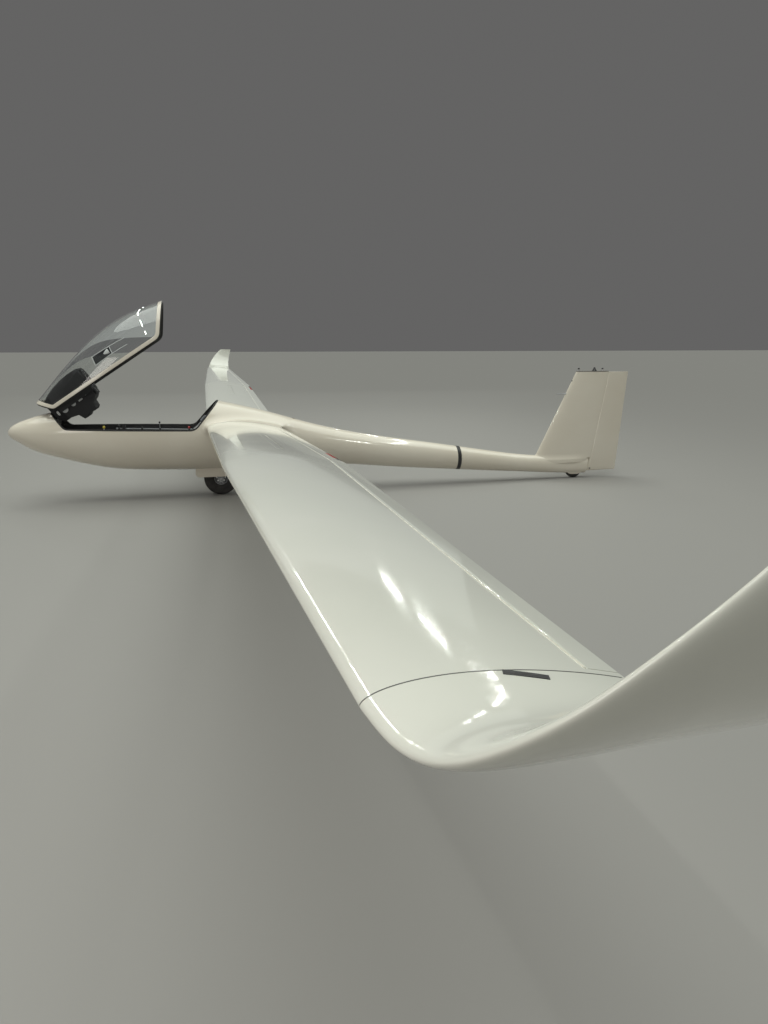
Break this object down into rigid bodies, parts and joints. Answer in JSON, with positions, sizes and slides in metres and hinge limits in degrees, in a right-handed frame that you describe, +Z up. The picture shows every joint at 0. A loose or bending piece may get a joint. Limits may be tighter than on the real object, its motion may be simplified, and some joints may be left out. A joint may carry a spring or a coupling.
{
  "type": "single-seat sailplane glider",
  "caption": "Single-seat sailplane with long slim wings, upswept tips, a narrow tail boom and tall fin, parked on its two wheels with the front-hinged canopy open.",
  "frame": {"origin": "on the floor, under the middle of the length, on the centre line", "axes": "+X forward to the nose, +Y left, +Z up"},
  "size_m": [6.7944, 14.9958, 1.9759],
  "materials": {
    "fuselage_gelcoat": "glossy warm white gelcoat",
    "wing_gelcoat": "glossy white gelcoat",
    "canopy_frame_gelcoat": "glossy cream gelcoat",
    "canopy_glass": "clear acrylic",
    "cockpit_shell": "satin painted composite",
    "pod_black": "fine matt black",
    "black_fitting": "satin black",
    "grey_paint": "satin grey paint",
    "steel_fitting": "plated steel",
    "tyre_rubber": "matt black rubber",
    "cushion_cloth": "woven grey cloth"
  },
  "bodies": {
    "airframe": {"fuselage_pod": "fuselage_gelcoat", "tail_boom": "fuselage_gelcoat", "fin": "fuselage_gelcoat", "gear_door_left": "fuselage_gelcoat", "gear_door_right": "fuselage_gelcoat", "wing_left": "wing_gelcoat", "wing_right": "wing_gelcoat", "wing_tip_left": "wing_gelcoat", "wing_tip_right": "wing_gelcoat", "wheel_box": "cockpit_shell", "seat_pan": "cockpit_shell", "cockpit_floor": "cockpit_shell", "rear_bulkhead": "cockpit_shell", "elevator_drive": "black_fitting", "control_stick": "black_fitting", "side_controls_left": "black_fitting", "side_controls_right": "black_fitting", "gear_leg_left": "grey_paint", "gear_leg_right": "grey_paint", "fin_probe": "grey_paint", "main_axle": "steel_fitting", "tail_axle": "steel_fitting", "gear_cross_tube": "steel_fitting", "rudder_pedal_left": "steel_fitting", "rudder_pedal_right": "steel_fitting", "canopy_hinge_bracket": "steel_fitting", "strut_foot": "steel_fitting", "tailplane_front_pin": "steel_fitting", "tailplane_rear_pin": "steel_fitting", "seat_cushion": "cushion_cloth", "headrest": "cushion_cloth"},
    "canopy": {"canopy_frame": "canopy_frame_gelcoat", "canopy_bubble": "canopy_glass", "instrument_pod": "pod_black", "canopy_arms": "grey_paint"},
    "strut_cylinder": {"strut_cylinder": "black_fitting"},
    "strut_rod": {"strut_rod": "steel_fitting"},
    "rudder": {"rudder": "fuselage_gelcoat", "rudder_horn": "black_fitting"},
    "flap_left": {"flap_left": "wing_gelcoat"},
    "flap_right": {"flap_right": "wing_gelcoat"},
    "aileron_left": {"aileron_left": "wing_gelcoat"},
    "aileron_right": {"aileron_right": "wing_gelcoat"},
    "airbrake_left": {"airbrake_left": "wing_gelcoat"},
    "airbrake_right": {"airbrake_right": "wing_gelcoat"},
    "main_wheel": {"main_tyre": "tyre_rubber", "main_hub": "grey_paint"},
    "tail_wheel": {"tail_tyre": "tyre_rubber", "tail_hub": "grey_paint"}
  },
  "joints": [
    {"name": "canopy_hinge", "type": "hinge", "parent": "airframe", "child": "canopy", "pos_m": [3.1855, 0, 0.7225], "axis": [0, 1, 0], "range_deg": [-35, 0]},
    {"name": "strut_tilt", "type": "hinge", "parent": "airframe", "child": "strut_cylinder", "pos_m": [3.1575, 0, 0.573], "axis": [0, 1, 0], "range_deg": [-40, 5]},
    {"name": "strut_slide", "type": "slide", "parent": "strut_cylinder", "child": "strut_rod", "axis": [-0.6895, 0, 0.7243], "range_m": [-0.1, 0.01]},
    {"name": "rudder_hinge", "type": "hinge", "parent": "airframe", "child": "rudder", "pos_m": [-2.9595, 0, 0.226], "axis": [-0.1755, 0, 0.9845], "range_deg": [-30, 30]},
    {"name": "flap_left_hinge", "type": "hinge", "parent": "airframe", "child": "flap_left", "pos_m": [0.84136, 0.372, 0.73261], "axis": [0.0075, 0.9985, 0.0543], "range_deg": [-15, 8]},
    {"name": "flap_right_hinge", "type": "hinge", "parent": "airframe", "child": "flap_right", "pos_m": [0.84136, -0.372, 0.73261], "axis": [-0.0075, 0.9985, -0.0543], "range_deg": [-15, 8]},
    {"name": "aileron_left_hinge", "type": "hinge", "parent": "airframe", "child": "aileron_left", "pos_m": [0.86914, 3.968, 0.9281], "axis": [0.0418, 0.9979, 0.0485], "range_deg": [-20, 20]},
    {"name": "aileron_right_hinge", "type": "hinge", "parent": "airframe", "child": "aileron_right", "pos_m": [0.86914, -3.968, 0.9281], "axis": [-0.0418, 0.9979, -0.0485], "range_deg": [-20, 20]},
    {"name": "airbrake_left_slide", "type": "slide", "parent": "airframe", "child": "airbrake_left", "axis": [0, 0, 1], "range_m": [0, 0.05]},
    {"name": "airbrake_right_slide", "type": "slide", "parent": "airframe", "child": "airbrake_right", "axis": [0, 0, 1], "range_m": [0, 0.05]},
    {"name": "main_wheel_spin", "type": "hinge", "parent": "airframe", "child": "main_wheel", "pos_m": [1.3695, 0, 0.175], "axis": [0, 1, 0], "continuous": true},
    {"name": "tail_wheel_spin", "type": "hinge", "parent": "airframe", "child": "tail_wheel", "pos_m": [-2.7505, 0, 0.1], "axis": [0, 1, 0], "continuous": true}
  ],
  "couplings": [
    {"joint": "strut_tilt", "follows": "canopy_hinge", "ratio": 0.72048},
    {"joint": "strut_slide", "follows": "canopy_hinge", "m_per_rad": 0.13815},
    {"joint": "flap_right_hinge", "follows": "flap_left_hinge", "ratio": 1},
    {"joint": "aileron_right_hinge", "follows": "aileron_left_hinge", "ratio": -1},
    {"joint": "airbrake_right_slide", "follows": "airbrake_left_slide", "ratio": 1}
  ]
}
